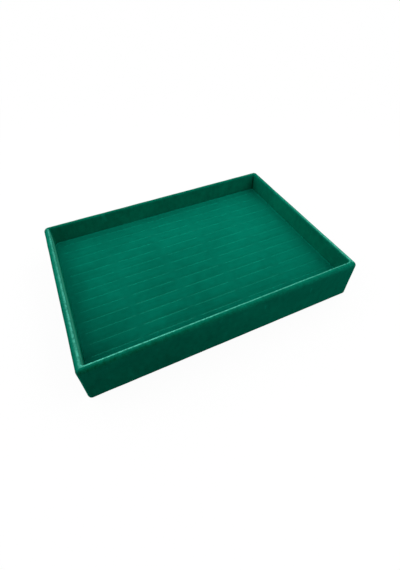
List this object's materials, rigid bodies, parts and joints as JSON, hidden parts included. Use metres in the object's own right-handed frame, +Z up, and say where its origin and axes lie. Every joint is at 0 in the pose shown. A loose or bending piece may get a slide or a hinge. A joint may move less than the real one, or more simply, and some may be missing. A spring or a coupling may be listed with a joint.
{
  "type": "jewelry tray",
  "caption": "Shallow rectangular velvet-wrapped tray with low walls, a rounded rim and a lift-out velvet pad whose rows of slits hold rings upright.",
  "frame": {"origin": "on the table, under the middle of the tray", "axes": "+X along the long side, +Y from the front wall to the back wall, +Z up out of the open top"},
  "size_m": [0.12, 0.084, 0.0195],
  "materials": {
    "velvet": "emerald green short-pile velvet with a soft sheen at glancing angles",
    "foam": "dark soft open-cell foam",
    "greyboard": "grey millboard with flecks of recycled fibre",
    "pad_card": "stiff grey card",
    "stay_paper": "brown gummed paper tape",
    "underside_paper": "dark green matt lining paper"
  },
  "bodies": {
    "tray": {"underside_sheet": "underside_paper", "velvet_wrap": "velvet", "base_board": "greyboard", "front_wall_board": "greyboard", "back_wall_board": "greyboard", "left_wall_board": "greyboard", "right_wall_board": "greyboard", "corner_stay_front_left": "stay_paper", "corner_stay_front_right": "stay_paper", "corner_stay_back_left": "stay_paper", "corner_stay_back_right": "stay_paper"},
    "insert": {"pad_card": "pad_card", "pad_foam": "foam", "pad_velvet": "velvet"}
  },
  "joints": [
    {"name": "pad_lift", "type": "slide", "parent": "tray", "child": "insert", "axis": [0, 0, 1], "range_m": [0, 0.03]}
  ]
}
